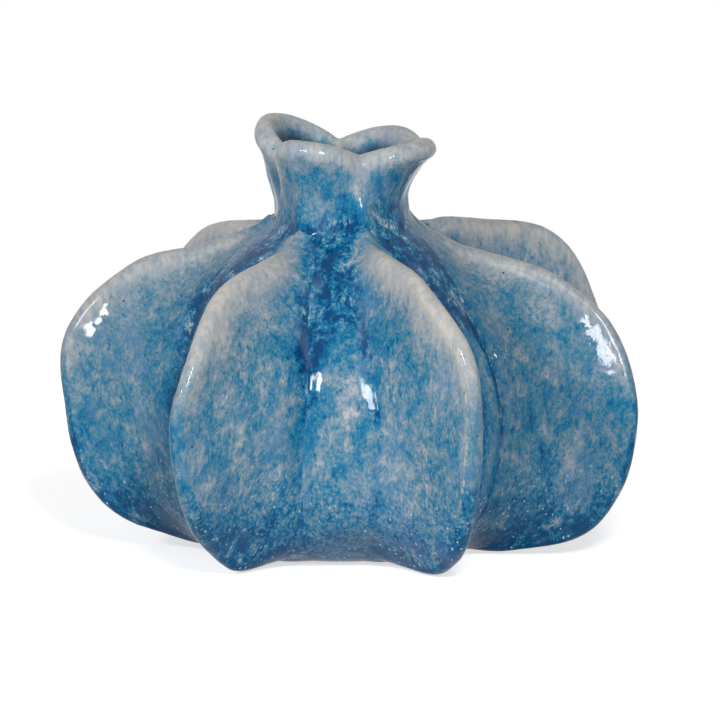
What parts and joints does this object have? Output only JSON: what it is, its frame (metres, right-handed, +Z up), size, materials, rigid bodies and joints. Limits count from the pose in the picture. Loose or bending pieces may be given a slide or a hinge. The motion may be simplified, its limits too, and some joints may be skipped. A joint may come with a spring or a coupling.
{
  "type": "bud vase",
  "caption": "Squat hand-built bud vase with a lobed flared mouth and upright rounded wings around a hollow pot, in mottled blue gloss glaze; holds water and flower stems.",
  "frame": {"origin": "on the table, at the middle of the floor disc's underside, under the axis of the pot", "axes": "+Z up along the pot's axis; -Y towards the viewer of the picture, between the two front wings; +X to the viewer's right"},
  "size_m": [0.1508, 0.1436, 0.1135],
  "materials": {
    "blue_glaze": "mottled blue gloss glaze over stoneware, paler on edges",
    "bare_clay": "unglazed fired stoneware"
  },
  "bodies": {
    "root": {"floor_disc": "bare_clay", "belly_lower": "blue_glaze", "belly_upper": "blue_glaze", "neck_collar": "blue_glaze", "mouth_lip": "blue_glaze", "wing_front_left": "blue_glaze", "wing_front_right": "blue_glaze", "wing_right": "blue_glaze", "wing_back_right": "blue_glaze", "wing_back": "blue_glaze", "wing_back_left": "blue_glaze", "wing_left": "blue_glaze"}
  },
  "joints": []
}
